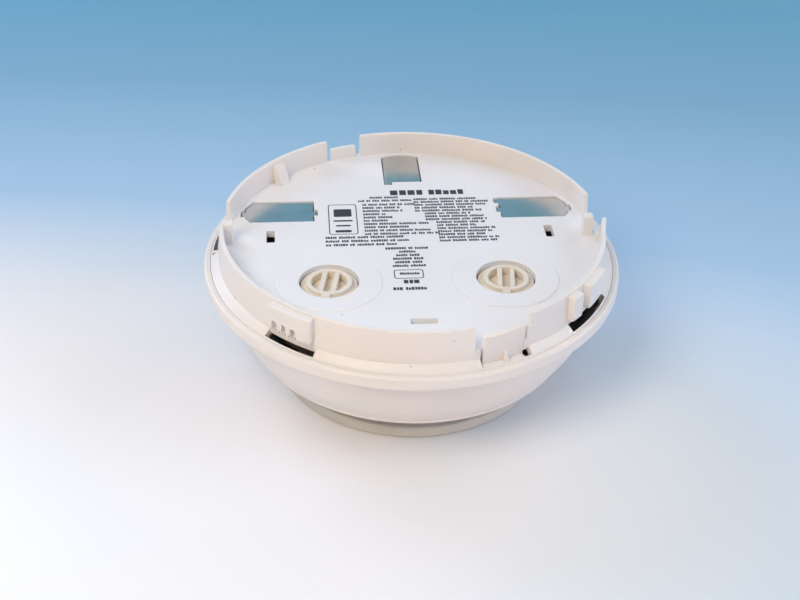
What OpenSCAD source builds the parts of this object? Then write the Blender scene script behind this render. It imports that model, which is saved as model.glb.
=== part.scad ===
// Plug-in fire detector head, lying on its nose with the mounting side up.
// Frame: +Z points out of the mounting side, +Y points at the single rear terminal.
// Origin: centre of the flat nose, on the surface that the head lies on. Millimetres.

/* [Overall] */
// Outer diameter of the rim
rim_d = 104; // [103.5:0.1:104.5]
// Height from the nose to the top of the mounting skirt
head_h = 41.3; // [41:0.1:42]

/* [Front cover] */
// Outer diameter of the flat nose
nose_d = 69.2; // [68:0.2:70]
// Diameter of the lower edge of the shell, above the smoke inlet
shell_edge_d = 82.4; // [81:0.2:83]
// Height of the lower edge of the shell above the nose
shell_edge_z = 10.5; // [10:0.1:11]
// Number of smoke inlet slots round the nose
inlet_count = 24; // [18:1:26]

/* [Rear housing] */
// Outer diameter of the mounting skirt
skirt_d = 96.6; // [96.2:0.1:97]
// Wall thickness of the mounting skirt
skirt_wall = 1.6; // [1.4:0.1:1.8]
// Wall of the skirt at its top, where its outer face has drawn in
skirt_top_wall = 1; // [0.9:0.1:1.2]
// Depth from the top of the skirt down to the terminal plate
skirt_depth = 6.2; // [6:0.1:6.6]
// Thickness of the terminal plate
plate_t = 2; // [2:0.1:2.2]

/* [Address dials] */
// Distance of each dial from the centre line of the head
dial_x = 21.3; // [21:0.1:21.6]
// Distance of the dials in front of the centre of the head
dial_y = 17.4; // [17:0.1:17.8]
// Radius of a dial head
dial_r = 6.85; // [6.7:0.05:6.9]
// Clockwise turn of the left dial from straight ahead, degrees
left_turn = 10; // [0:1:36]
// Clockwise turn of the right dial from straight ahead, degrees
right_turn = 7; // [0:1:36]

/* [Electronics] */
// Radius of the circuit board
board_r = 43.4; // [42:0.2:43.4]
// Thickness of the circuit board
board_t = 1.6; // [1.4:0.1:1.6]
// Number of blades round the smoke chamber
blade_count = 24; // [18:1:26]

/* [Hidden] */
$fn = 96;

// Rim and seam between cover and housing
rim_r = rim_d / 2;
lip_w = 1.4;
cover_bore_r = rim_r - lip_w;
seam_gap = 0.25;
flange_r = cover_bore_r - seam_gap;
skirt_r = skirt_d / 2;
skirt_in_r = skirt_r - skirt_wall;
skirt_top_r = skirt_in_r + skirt_top_wall;

// Levels, counted from the nose
plate_z = head_h - skirt_depth;
plate_low_z = plate_z - plate_t;
foot_z = plate_z - 2.1;
seam_z = foot_z - 1.5;
ledge_z = seam_z - 2.1;
gap_floor_z = plate_z + 0.3;
pad_low_z = foot_z + 1.5;

// Circuit board and chamber levels
board_z = plate_low_z - 7.1;
board_top_z = board_z + board_t;
nose_floor_z = 2.4;
chamber_r = 26;
base_low_z = board_z - 3.4;
screen_r = 27.2;
screen_t = 0.4;

// Terminals
pad_t = 0.6;
pad_z = plate_z - 0.95;
pad_gap = 0.3;
leg_w = 2.6;
leg_low_z = board_z - 0.8;

// Bosses, as [angle] round the head
boss_r = 38;
boss_angles = [50, 130, 270];
screw_r = 1.1;

// Dials
dial_hole_r = dial_r + 0.35;
dial_boss_r = 12.8;
dial_boss_h = 0.3;
dial_low_z = plate_low_z - 1.3;
dial_top_z = plate_z + 0.2;
dial_collar_z = dial_top_z - 1.2;
dial_ring_r = 5.5;
dial_pocket_r = 4.3;
dial_pocket_z = dial_low_z + 0.6;
dial_bar_w = 1.2;
dial_slot_w = 1.8;
dial_pointer_w = 2.2;
stem_r = 3;
stem_clearance = 0.05;
stem_low_z = board_top_z + 0.8;
switch_top_z = dial_low_z - 0.3;
switch_w = 12;

// Status lights and thermistors
light_z = 15.5;
light_r = 1.4;
thermistor_r = 29.3;
thermistor_angles = [75, 255];
bead_z = 8;

// Smoke chamber optics
optic_angles = [160, 20];
optic_r = 2.5;
optic_z = base_low_z - 3.4;
optic_out_r = 21;
optic_in_r = 12;

// Twist-lock lugs: [start and end angle, notch angles, notch width, notch height, drop of the top]
lugs = [
  [224, 238, [226.3, 229.4, 232.5], 1.3, 2.3, 0.4],
  [313.6, 332, [319.9], 3.3, 8, 0.4],
  [78, 94, [82, 90], 1.3, 2.3, 1.4]
];
// Openings through the rim band: [start angle, end angle]
rim_openings = [[223, 239], [314, 334], [77.5, 94.5], [168, 179.3], [0, 13]];
// Thin bridge across the left opening: [start angle, end angle]
rim_bridge = [176.4, 177.7];
// Foot of the skirt over the right opening, cut higher in steps: [start angle, end angle, height]
foot_steps = [[325.5, 333.6, 0.7], [329, 332.8, 1.4]];
// Flexing tongues: [angle, half width, skirt cut before and after, height, band cut before and after]
tongues = [[290.8, 5.2, 8.4, 7, 4.1, 7.1, 7.7], [109.3, 3.7, 5.9, 6, 3.1, 5.2, 5.3]];
// Corner of the skirt after the front tongue, cut lower: [start angle, end angle, height]
low_corner = [297.5, 299.5, 3.1];
// Stretches where the skirt is cut down to the plate: [start angle, end angle]
low_gaps = [[-0.3, 13.5], [166.5, 180.5]];
// Middles of the posts in those gaps, across the head
gap_posts = [44.6, -45.7];

function quad_curve(a, b, c, n) = [
  for (i = [0:n]) let (t = i / n)
    a * (1 - t) * (1 - t) + b * 2 * t * (1 - t) + c * t * t
];
function arc(cx, cy, r, a0, a1, n) = [
  for (i = [0:n]) let (t = a0 + (a1 - a0) * i / n) [cx + r * cos(t), cy + r * sin(t)]
];

// A ring sector of rectangular section, from angle a0 to a1
module sector(r0, r1, z0, z1, a0, a1) {
  rotate([0, 0, a0])
    rotate_extrude(angle = a1 - a0)
      translate([r0, z0])
        square([r1 - r0, z1 - z0]);
}

// A box centred across the radius at an angle: radial range, width and height range
module radial_box(angle, r0, r1, w, z0, z1) {
  rotate([0, 0, angle])
    translate([r0, -w / 2, z0])
      cube([r1 - r0, w, z1 - z0]);
}

// Places a shape at a radius and level, turned round the head to an angle
module at_angle(angle, r, z) {
  rotate([0, 0, angle])
    translate([r, 0, z])
      children();
}

// ---------- Front cover ----------

// Section of the cover: lip, bowl, inlet cove and nose, as one closed outline
module cover_section() {
  lip_top_z = seam_z;
  lip_low_z = seam_z - 3.2;
  bowl_r = rim_r - 4.4;
  bowl_z = lip_low_z - 2.6;
  edge_r = shell_edge_d / 2;
  edge_z = shell_edge_z;
  cove_r = nose_d / 2 - 1.6;
  roof_z = edge_z + 2.3;
  nose_r = nose_d / 2;
  outer = concat(
    [[cover_bore_r, lip_top_z - 0.2], [cover_bore_r + 0.2, lip_top_z]],
    arc(rim_r - 1, lip_top_z - 1, 1, 80, 0, 5),
    arc(rim_r - 0.8, lip_low_z + 0.8, 0.8, 0, -60, 4),
    quad_curve([bowl_r, bowl_z], [bowl_r - 1.4, edge_z + 6.6], [edge_r, edge_z], 12),
    arc(edge_r - 0.95, edge_z + 0.1, 0.85, -20, -160, 5)
  );
  cove = concat(
    [[edge_r - 2.1, roof_z - 0.4], [edge_r - 2.6, roof_z]],
    arc(cove_r + 1.4, roof_z - 1.4, 1.4, 90, 180, 4),
    [[cove_r, 4.2]],
    arc(nose_r - 0.7, 2.6, 0.7, 90, 0, 4),
    arc(nose_r - 1, 1, 1, 0, -90, 5)
  );
  inner = concat(
    [[0, 0], [0, nose_floor_z], [cove_r - 1.6, nose_floor_z], [cove_r - 1.6, roof_z + 1.6]],
    [[edge_r - 2.2, roof_z + 1.6]],
    quad_curve([edge_r - 0.4, roof_z + 2.6], [bowl_r - 2.2, edge_z + 8.4],
      [bowl_r - 1.9, bowl_z + 0.8], 8),
    [[cover_bore_r - 1.8, ledge_z - 1.2], [cover_bore_r - 1.8, ledge_z], [cover_bore_r, ledge_z]]
  );
  polygon(concat(outer, cove, inner));
}

module front_cover() {
  color("white")
    difference() {
      rotate_extrude() cover_section();
      for (i = [0:inlet_count - 1])
        radial_box(i * 360 / inlet_count, nose_d / 2 - 4.4, nose_d / 2 + 0.2, 5.4,
          4.8, shell_edge_z + 0.4);
      for (a = [0, 180])
        at_angle(a, rim_r - 14, light_z)
          rotate([0, 90, 0]) cylinder(r = light_r + 0.15, h = 12);
    }
}

// ---------- Rear housing ----------

// Section of the housing: plate, skirt and sloping rim band
module housing_section() {
  polygon([
    [0, plate_low_z], [0, plate_z], [skirt_in_r, plate_z], [skirt_in_r, head_h - 0.1],
    [skirt_in_r + 0.1, head_h], [skirt_top_r - 0.1, head_h], [skirt_top_r, head_h - 0.1],
    [skirt_r, foot_z], [flange_r - 0.2, seam_z], [flange_r, seam_z - 0.2],
    [flange_r, ledge_z], [flange_r - 1.6, ledge_z], [flange_r - 1.8, seam_z - 0.9],
    [skirt_r - 0.4, plate_low_z - 1.2], [skirt_in_r - 1, plate_low_z]
  ]);
}

// Outline of a side terminal window on the right, grown or shrunk by g
function side_window(g) = [
  [24.2 - g, 21.1 + g], [40.2 + g / 2, 21.1 + g], [42.2 + g, 18 + g / 2],
  [42.2 + g, 13.4 - g / 2], [40.7 + g / 2, 10.7 - g], [24.2 - g, 10.7 - g]
];
// Outline of the rear terminal window, with an arched back edge
rear_half_w = 5.1;
rear_front_y = 30.3;
rear_arch_r = 8.9;
rear_arch_y = 37;
function rear_window(g) = let (
    half = asin((rear_half_w + g) / (rear_arch_r + g))
  ) concat(
    arc(0, rear_arch_y, rear_arch_r + g, 90 - half, 90 + half, 8),
    [[-rear_half_w - g, rear_front_y - 1.4 - g], [-3 + g, rear_front_y - 1.4 - g],
     [-3 + g, rear_front_y - g], [rear_half_w + g, rear_front_y - g]]
  );

// Places a shape on both sides of the head
module both_sides() {
  children();
  mirror([1, 0, 0]) children();
}

// One flexing tongue, leaning outwards, with a rib at its foot and a web below it
module tongue(spec) {
  lean = 4;
  web_z = ledge_z + 0.4;
  web_h = 1.2;
  half_w = spec[1];
  rotate([0, 0, spec[0]]) {
    translate([skirt_in_r - 0.3, 0, web_z])
      rotate([0, lean, 0])
        translate([0, -half_w, 0])
          cube([1.5, 2 * half_w, plate_z + spec[4] - web_z]);
    translate([skirt_r - 0.2, 0.5, 0])
      rotate([90, 0, 0])
        linear_extrude(1)
          polygon([[-0.6, web_z], [1.7, web_z], [1.7, seam_z - 0.6], [0, seam_z + 2.4]]);
    sector(skirt_in_r - 1.5, flange_r - 1.8, web_z, web_z + web_h, -spec[5] - 1, spec[6] + 1);
    sector(skirt_in_r - 1.4, flange_r - 0.8, web_z + 0.1, web_z + web_h + 0.1, -spec[5] - 2, -spec[5] + 0.5);
    sector(skirt_in_r - 1.4, flange_r - 0.8, web_z + 0.1, web_z + web_h + 0.1, spec[6] - 0.5, spec[6] + 2);
  }
}

// One twist-lock lug: a pad on the skirt with notches in its lower edge
module lug(spec) {
  difference() {
    sector(skirt_in_r + 0.5, skirt_r + 1.5, pad_low_z, head_h - spec[5], spec[0], spec[1]);
    for (a = spec[2])
      radial_box(a, skirt_r, skirt_r + 2, spec[3], pad_low_z - 1, pad_low_z + spec[4]);
  }
}

// A hook on the inner face of the skirt
module inner_hook(angle) {
  rotate([0, 0, angle])
    translate([0, 1.6, 0])
      rotate([90, 0, 0])
        linear_extrude(3.2)
          polygon([
            [skirt_in_r + 0.2, plate_z - 0.2], [skirt_in_r + 0.2, plate_z + 4.8],
            [skirt_in_r - 1.4, plate_z + 4.8], [skirt_in_r - 2.2, plate_z + 2.6],
            [skirt_in_r - 3.2, plate_z - 0.2]
          ]);
}

// A post that stands inside a gap of the skirt, with its back edge sloped
module gap_post(x) {
  translate([x - 1.2, 0.6, plate_z])
    rotate([90, 0, 90])
      linear_extrude(2.4)
        polygon([[0, -0.5], [3.4, -0.5], [3.4, 4.4], [2.2, 5.6], [0, 5.6]]);
}

module rear_housing() {
  color("white") {
    difference() {
      union() {
        rotate_extrude() housing_section();
        both_sides()
          translate([dial_x, -dial_y, plate_z - 0.5])
            cylinder(r = dial_boss_r, h = 0.5 + dial_boss_h);
        for (a = boss_angles)
          at_angle(a, boss_r, board_top_z) cylinder(r = 3, h = plate_low_z - board_top_z + 0.5);
        for (x = gap_posts) gap_post(x);
        inner_hook(136);
      }
      // Holes of the dials
      both_sides()
        translate([dial_x, -dial_y, plate_low_z - 1])
          cylinder(r = dial_hole_r, h = plate_t + 3);
      // Pockets and leg slots of the terminals
      both_sides() {
        translate([0, 0, pad_z]) linear_extrude(plate_t) polygon(side_window(0));
        translate([23.3, 13.6, plate_low_z - 1]) cube([1, 3, plate_t + 3]);
        translate([42.1, 13.6, plate_low_z - 0.5]) cube([1, 3, plate_t + 3]);
        // Small through slots in front of the side terminals
        translate([34.3, 0.9, plate_low_z - 1]) cube([2.1, 5.5, plate_t + 3]);
      }
      translate([0, 0, pad_z]) linear_extrude(plate_t) polygon(rear_window(0));
      translate([-5.3, 28.8, plate_low_z - 1]) cube([2.4, 1.2, plate_t + 3]);
      // Blind latch pocket at the front
      translate([-3.1, -35.7, plate_z - 1.2]) cube([6.2, 2.2, 3]);
      // Stretches where the skirt is cut down to the plate
      for (g = low_gaps)
        sector(skirt_in_r - 0.4, skirt_r + 1, gap_floor_z, head_h + 1, g[0], g[1]);
      // Clearance round each tongue, through skirt and rim band
      for (t = tongues) {
        sector(skirt_in_r - 0.7, flange_r - 0.4, ledge_z - 1, head_h + 1, t[0] - t[5], t[0] + t[6]);
        sector(skirt_in_r - 0.3, skirt_r + 1, plate_z + 0.1, head_h + 1, t[0] - t[2], t[0] + t[3]);
      }
      sector(skirt_in_r - 0.5, skirt_r + 1, plate_z + low_corner[2], head_h + 1,
        low_corner[0], low_corner[1]);
      // Openings through the rim band, and the steps in the skirt's foot over the right one
      for (o = rim_openings)
        sector(skirt_r + 0.1, flange_r - 0.4, ledge_z - 1, foot_z + 1, o[0], o[1]);
      for (f = foot_steps)
        sector(skirt_in_r + 0.4, flange_r - 0.4, ledge_z - 1, foot_z + f[2], f[0], f[1]);
      // Screw bores in the bosses
      for (a = boss_angles)
        at_angle(a, boss_r, board_top_z - 1) cylinder(r = screw_r, h = 6);
    }
    for (t = tongues) tongue(t);
    for (s = lugs) lug(s);
    sector(skirt_r - 0.2, flange_r - 0.2, seam_z - 0.6, seam_z + 0.1, rim_bridge[0], rim_bridge[1]);
  }
}

// ---------- Terminals ----------

// A bent leg of a terminal, from the pad down to a level
module leg(x, y, w, d, low_z) {
  translate([x - w / 2, y - d / 2, low_z]) cube([w, d, pad_z + pad_t - low_z]);
}

module side_terminal() {
  translate([0, 0, pad_z]) linear_extrude(pad_t) polygon(side_window(-pad_gap));
  leg(23.9, 15.1, 0.6, leg_w, leg_low_z);
  translate([23.6, 15.1 - leg_w / 2, pad_z]) cube([1.4, leg_w, pad_t]);
  leg(42.5, 15.1, 0.6, leg_w, plate_low_z - 0.3);
  translate([41.6, 15.1 - leg_w / 2, pad_z]) cube([1.2, leg_w, pad_t]);
}

module terminal_right() {
  color("silver") side_terminal();
}

module terminal_left() {
  color("silver") mirror([1, 0, 0]) side_terminal();
}

module terminal_rear() {
  color("silver") {
    translate([0, 0, pad_z]) linear_extrude(pad_t) polygon(rear_window(-pad_gap));
    leg(-4.1, 29.5, 1.6, 0.6, leg_low_z);
  }
}

// ---------- Address dials and their switches ----------

// The turning part: head with a collar, a raised ring, two bars and a stem
module dial(turn) {
  rotate([0, 0, -turn]) {
    difference() {
      union() {
        translate([0, 0, dial_low_z]) cylinder(r = dial_r, h = dial_collar_z - dial_low_z);
        translate([0, 0, dial_low_z]) cylinder(r = dial_ring_r, h = dial_top_z - dial_low_z);
      }
      translate([0, 0, dial_pocket_z]) cylinder(r = dial_pocket_r, h = 5);
    }
    // Pointer block across the collar, in line with the slot
    translate([-dial_pointer_w / 2, -dial_r + 0.1, dial_collar_z - 0.3])
      cube([dial_pointer_w, dial_r - dial_ring_r + 0.4, dial_top_z - dial_collar_z + 0.3]);
    for (s = [-1, 1])
      translate([s * (dial_slot_w + dial_bar_w) / 2, 0, 0])
        translate([-dial_bar_w / 2, -dial_pocket_r + 0.1, dial_pocket_z - 0.2])
          cube([dial_bar_w, 2 * dial_pocket_r - 0.2, dial_top_z - dial_pocket_z]);
  }
  translate([0, 0, stem_low_z]) cylinder(r = stem_r, h = dial_low_z - stem_low_z + 0.2);
}

module address_dial_left() {
  color("antiquewhite") translate([-dial_x, -dial_y, 0]) dial(left_turn);
}

module address_dial_right() {
  color("antiquewhite") translate([dial_x, -dial_y, 0]) dial(right_turn);
}

// The fixed body of a code switch, with the bore that its dial turns in and five pins
module code_switch() {
  difference() {
    translate([-switch_w / 2, -switch_w / 2, board_top_z])
      cube([switch_w, switch_w, switch_top_z - board_top_z]);
    translate([0, 0, stem_low_z - 0.3]) cylinder(r = stem_r + stem_clearance, h = 6);
  }
  for (i = [-2:2])
    translate([i * 2.3 - 0.3, -switch_w / 2 + 0.6, board_z - 0.7])
      cube([0.6, 0.4, board_t + 0.8]);
}

module address_switch_left() {
  color("dimgray") translate([-dial_x, -dial_y, 0]) code_switch();
}

module address_switch_right() {
  color("dimgray") translate([dial_x, -dial_y, 0]) code_switch();
}

// ---------- Circuit board and its parts ----------

module circuit_board() {
  color("darkgreen")
    difference() {
      translate([0, 0, board_z]) cylinder(r = board_r, h = board_t);
      for (a = boss_angles)
        at_angle(a, boss_r, board_z - 1) cylinder(r = 1.6, h = board_t + 2);
      both_sides() {
        translate([23.4, 13.6, board_z - 1]) cube([1, 3, board_t + 2]);
        for (i = [-2:2])
          translate([dial_x + i * 2.3 - 0.4, -dial_y - switch_w / 2 + 0.5, board_z - 1])
            cube([0.8, 0.6, board_t + 2]);
      }
      translate([-5.1, 29, board_z - 1]) cube([2, 1, board_t + 2]);
      for (a = thermistor_angles)
        for (s = [-1, 1])
          at_angle(a, thermistor_r, board_z - 1)
            translate([0, s * 0.9, 0]) cylinder(r = 0.4, h = board_t + 2);
      for (a = optic_angles)
        for (s = [-1, 1])
          at_angle(a, optic_out_r - 1, board_z - 1)
            translate([0, s * 1.27, 0]) cylinder(r = 0.45, h = board_t + 2);
    }
}

module board_screws() {
  color("gray")
    for (a = boss_angles)
      at_angle(a, boss_r, 0) {
        difference() {
          translate([0, 0, board_z - 1.7]) cylinder(r = 2.6, h = 1.7);
          for (t = [0, 90])
            rotate([0, 0, t]) translate([-1.5, -0.3, board_z - 1.8]) cube([3, 0.6, 0.9]);
        }
        translate([0, 0, board_z - 0.2]) cylinder(r = screw_r - 0.02, h = board_t + 4.4);
      }
}

// A flat chip with gull-wing legs along two sides
module chip(w, d, h, legs) {
  pitch = w / legs;
  translate([-w / 2, -d / 2, board_top_z + 0.1]) cube([w, d, h]);
  for (s = [-1, 1])
    for (i = [0:legs - 1])
      translate([-w / 2 + (i + 0.5) * pitch - 0.2, s * (d / 2 + 0.4) - 0.5, board_top_z])
        cube([0.4, 1, 0.3]);
}

module microcontroller() {
  color("black") translate([4, 8, 0]) chip(10, 7.4, 1.9, 8);
}

module signal_chip() {
  color("black") translate([-13, 4, 0]) chip(5, 4, 1.5, 4);
}

// Round line capacitors standing on the board
module line_capacitors() {
  color("silver")
    for (p = [[-8, -34], [3, -27], [14, 28]])
      translate([p[0], p[1], board_top_z]) {
        translate([-2.7, -2.7, 0]) cube([5.4, 5.4, 0.8]);
        cylinder(r = 2.5, h = 5);
      }
}

// Small chip resistors and capacitors, in rows
module surface_parts() {
  color("tan")
    for (row = [0:3])
      for (i = [0:3])
        translate([-9 + i * 4.6, -4 - row * 3.4, board_top_z]) cube([2, 1.2, 0.7]);
}

// Glass reed switch for the magnet test, lying near the edge of the board
module reed_switch() {
  color("palegreen")
    translate([-31, -2, 0]) rotate([0, 0, 100]) {
      translate([-6.5, 0, board_top_z + 1.4]) rotate([0, 90, 0]) cylinder(r = 1.1, h = 13);
      for (s = [-1, 1])
        translate([s * 7.2 - 0.9, -0.25, board_top_z + 1.15]) cube([1.8, 0.5, 0.5]);
      for (s = [-1, 1])
        translate([s * 8.1 - 0.25, -0.25, board_top_z]) cube([0.5, 0.5, 1.65]);
    }
}

// Status light on the underside of the board, above the inner end of its light pipe
module status_led(angle) {
  at_angle(angle, 0, 0)
    translate([37.2, -1.2, board_z - 1.4]) cube([2.6, 2.4, 1.4]);
}

module status_led_left() {
  color("orange") status_led(180);
}

module status_led_right() {
  color("orange") status_led(0);
}

// Clear pipe: a post under the light, an elbow and a lens through the shell
module light_pipe(angle) {
  at_angle(angle, 0, 0) {
    translate([38.5, 0, light_z]) cylinder(r = 1.2, h = board_z - 1.6 - light_z);
    translate([38.5, 0, light_z]) sphere(r = 1.3);
    translate([38.5, 0, light_z]) rotate([0, 90, 0]) cylinder(r = light_r, h = 5.8);
  }
}

module light_pipe_left() {
  color("red") light_pipe(180);
}

module light_pipe_right() {
  color("red") light_pipe(0);
}

// Thermistor: a bead in the air path on two leads from the board
module thermistor(angle) {
  at_angle(angle, thermistor_r, 0) {
    for (s = [-1, 1])
      translate([0, s * 0.9, bead_z]) cylinder(r = 0.25, h = board_top_z + 0.6 - bead_z);
    translate([0, 0, bead_z]) sphere(r = 1.3);
  }
}

module thermistor_left() {
  color("darkslategray") thermistor(thermistor_angles[1]);
}

module thermistor_right() {
  color("darkslategray") thermistor(thermistor_angles[0]);
}

// ---------- Smoke chamber ----------

// Black base under the board, with two tunnels that aim the optics across the chamber
module chamber_base() {
  color("#202020")
    difference() {
      union() {
        translate([0, 0, base_low_z]) cylinder(r = screen_r, h = 1.6);
        difference() {
          translate([0, 0, base_low_z]) cylinder(r = chamber_r, h = board_z - base_low_z);
          translate([0, 0, base_low_z - 1]) cylinder(r = chamber_r - 1.4, h = 6);
        }
        for (a = optic_angles)
          radial_box(a, optic_in_r, optic_out_r - 1, 7, optic_z - 3.4, base_low_z + 0.5);
      }
      for (a = optic_angles) {
        at_angle(a, optic_in_r - 1, optic_z)
          rotate([0, 90, 0]) cylinder(r = optic_r + 0.1, h = optic_out_r);
        for (s = [-1, 1])
          at_angle(a, optic_out_r - 1, base_low_z - 1)
            translate([0, s * 1.27, 0]) cylinder(r = 0.45, h = 4);
      }
    }
}

// Black cap with a ring of slanted blades that keep light out and let smoke in
module chamber_cap() {
  blade_low_z = nose_floor_z + 1.2;
  color("#202020") {
    translate([0, 0, nose_floor_z]) cylinder(r = chamber_r, h = 1.4);
    for (i = [0:blade_count - 1])
      rotate([0, 0, i * 360 / blade_count])
        translate([chamber_r - 2.6, 0, blade_low_z])
          rotate([0, 0, 35])
            translate([-1.6, -0.4, 0]) cube([3.6, 0.8, base_low_z - blade_low_z]);
  }
}

module insect_screen() {
  color("gray")
    translate([0, 0, nose_floor_z])
      difference() {
        cylinder(r = screen_r, h = base_low_z - nose_floor_z);
        translate([0, 0, -1]) cylinder(r = screen_r - screen_t, h = base_low_z);
      }
}

// A round-nosed optical part lying in its tunnel, with two leads up to the board
module optic(angle) {
  at_angle(angle, 0, 0) {
    translate([optic_in_r + 3, 0, optic_z]) rotate([0, 90, 0]) cylinder(r = optic_r, h = 4.5);
    translate([optic_in_r + 3, 0, optic_z]) sphere(r = optic_r);
    for (s = [-1, 1]) {
      translate([optic_in_r + 7, s * 1.27 - 0.25, optic_z - 0.25]) cube([2.25, 0.5, 0.5]);
      translate([optic_out_r - 1.25, s * 1.27 - 0.25, optic_z - 0.25])
        cube([0.5, 0.5, board_top_z + 0.5 - optic_z]);
    }
  }
}

module infrared_emitter() {
  color("lightsteelblue") optic(optic_angles[0]);
}

module light_receiver() {
  color("slategray") optic(optic_angles[1]);
}

rear_housing();
front_cover();
terminal_left();
terminal_right();
terminal_rear();
address_dial_left();
address_dial_right();
address_switch_left();
address_switch_right();
circuit_board();
board_screws();
microcontroller();
signal_chip();
line_capacitors();
surface_parts();
reed_switch();
status_led_left();
status_led_right();
light_pipe_left();
light_pipe_right();
thermistor_left();
thermistor_right();
chamber_base();
chamber_cap();
insect_screen();
infrared_emitter();
light_receiver();
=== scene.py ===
"""Looks for a plug-in fire detector head lying on its nose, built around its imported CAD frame.

Lengths in this script are millimetres until make() turns them into metres. Angles are degrees, counted
round the head from +X, and heights are counted from the nose.
"""

import math
import random

import bpy
from mathutils import Matrix, Vector, geometry


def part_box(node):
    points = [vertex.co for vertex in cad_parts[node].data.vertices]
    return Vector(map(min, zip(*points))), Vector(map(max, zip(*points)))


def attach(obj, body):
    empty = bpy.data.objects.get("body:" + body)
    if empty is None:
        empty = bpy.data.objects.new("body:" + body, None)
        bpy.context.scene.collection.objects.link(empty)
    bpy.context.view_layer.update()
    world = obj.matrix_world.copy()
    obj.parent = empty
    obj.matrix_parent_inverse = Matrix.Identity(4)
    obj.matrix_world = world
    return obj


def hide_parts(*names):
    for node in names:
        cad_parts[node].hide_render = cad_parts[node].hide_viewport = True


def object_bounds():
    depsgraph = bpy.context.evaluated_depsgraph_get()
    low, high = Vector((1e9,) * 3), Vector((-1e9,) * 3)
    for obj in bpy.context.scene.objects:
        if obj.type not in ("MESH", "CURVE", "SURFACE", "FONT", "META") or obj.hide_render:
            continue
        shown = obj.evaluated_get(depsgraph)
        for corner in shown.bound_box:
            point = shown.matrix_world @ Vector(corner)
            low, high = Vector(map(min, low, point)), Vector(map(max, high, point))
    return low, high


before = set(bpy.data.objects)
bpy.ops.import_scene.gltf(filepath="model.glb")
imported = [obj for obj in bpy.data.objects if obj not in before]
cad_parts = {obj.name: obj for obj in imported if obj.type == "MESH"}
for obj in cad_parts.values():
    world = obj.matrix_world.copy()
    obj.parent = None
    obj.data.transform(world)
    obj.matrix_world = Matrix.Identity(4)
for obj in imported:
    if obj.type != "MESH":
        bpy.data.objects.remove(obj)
cad_low, cad_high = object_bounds()

MM = 0.001
HEAD = "head"


def node_box(node):
    """Lowest and highest corner of a CAD node, in millimetres."""
    low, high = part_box(node)
    return low / MM, high / MM


# ---------- Sizes, worked out from the frame ----------
rim_r = (cad_high.x - cad_low.x) / 2 / MM
head_h = cad_high.z / MM
flange_r = (node_box("rear_housing")[1].x - node_box("rear_housing")[0].x) / 2
# The terminal plate, with the contact pads sunk a little below its face
PAD_RECESS, PLATE_THICK = 0.35, 2
pad_top_z = node_box("terminal_right")[1].z
plate_z = pad_top_z + PAD_RECESS
plate_low_z = plate_z - PLATE_THICK
# The skirt, whose outer face draws in by the draft from its foot to its top
SKIRT_WALL, SKIRT_DRAFT = 1.6, 0.6
skirt_r = rim_r - 3.7
skirt_in_r = skirt_r - SKIRT_WALL
# Down the rim: the foot of the skirt, the seam between housing and cover, and the underside of the band
foot_z = plate_z - 2.1
seam_z = foot_z - 1.5
ledge_z = seam_z - 2.1
# The lower edge of the bowl, the nose, and the inner wall of the inlet between them
edge_r, edge_z = rim_r - 10.8, 10.5
nose_r, nose_top_z = rim_r - 17.4, 3.3
cove_r = nose_r - 1.6

# Where each stretch of the skirt starts and ends
SKIRT_SEGMENTS = ((13.5, 103.4), (115.3, 166.5), (180.5, 282.4), (297.8, 359.7))
# The corner that is cut away from one stretch: its start, its end and its height over the plate
LOW_CORNER = (297.8, 299.5, 3.1)
# The lower edge of every lug, and each lug: its span, its notches, and how far its top lies below the skirt's
LUG_LOW = 34.5
LUGS = (
    {"span": (224, 238), "notches": (226.3, 229.4, 232.5), "drop": 0.4},
    {"span": (313.6, 318), "notches": (), "drop": 0.4},
    {"span": (321.8, 332), "notches": (), "drop": 0.4},
    {"span": (78, 94), "notches": (82, 90), "drop": 1.4},
)
NOTCH_H = 2.3
# Where the rim band is open under the lugs and beside the low gaps of the skirt
RIM_OPENINGS = ((223, 239), (314, 334), (77.5, 94.5), (168, 179.3), (0, 13))
# Height of the skirt's foot over each opening it crosses: (angle, height) in steps
OPENING_FEET = {
    223: ((223, 31.8), (239, 31.8)),
    314: ((314, 33.0), (325.5, 33.0), (325.5, 33.7), (329, 33.7), (329, 34.4), (333.5, 34.4)),
    77.5: ((77.5, 33.0), (94.5, 33.0)),
}
# Each tongue: its middle, half its width in millimetres, the gap to each side in degrees, its height over the
# plate, how far its top slopes down to the left, and the low walls in its gap
TONGUES = (
    {"at": 290.8, "half_w": 5.2, "gap": (7.1, 7.7), "h": 4.1, "drop": 0.45,
     "sills": ((282.2, 283.9), (296.9, 298))},
    {"at": 109.3, "half_w": 3.7, "gap": (5.2, 5.3), "h": 3.1, "drop": 0.0,
     "sills": ((103.2, 104.3), (114.4, 115.5))},
)
# The two low gaps of the skirt, and the X at which the post in each of them stands
LOW_GAPS = ((-0.3, 13.5), (166.5, 180.5))
GAP_POSTS = (44.6, -45.7)
# Radii of a dial's hole and of the raised disc round it
DIAL_HOLE_R, SURROUND_R = 7.2, 12.8
# The gap round each contact pad in its window, and where the legs of the side contacts start and end in Y
PAD_GAP = 0.3
LEG_Y = (13.8, 16.4)
# The last stretch of the skirt leans outwards over its last degrees, by so many millimetres at its top
FLARE_ANGLE, FLARE = 10, 1.1
# Longest facet on a wall that follows the skirt
WALL_PITCH = 1.6


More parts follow.
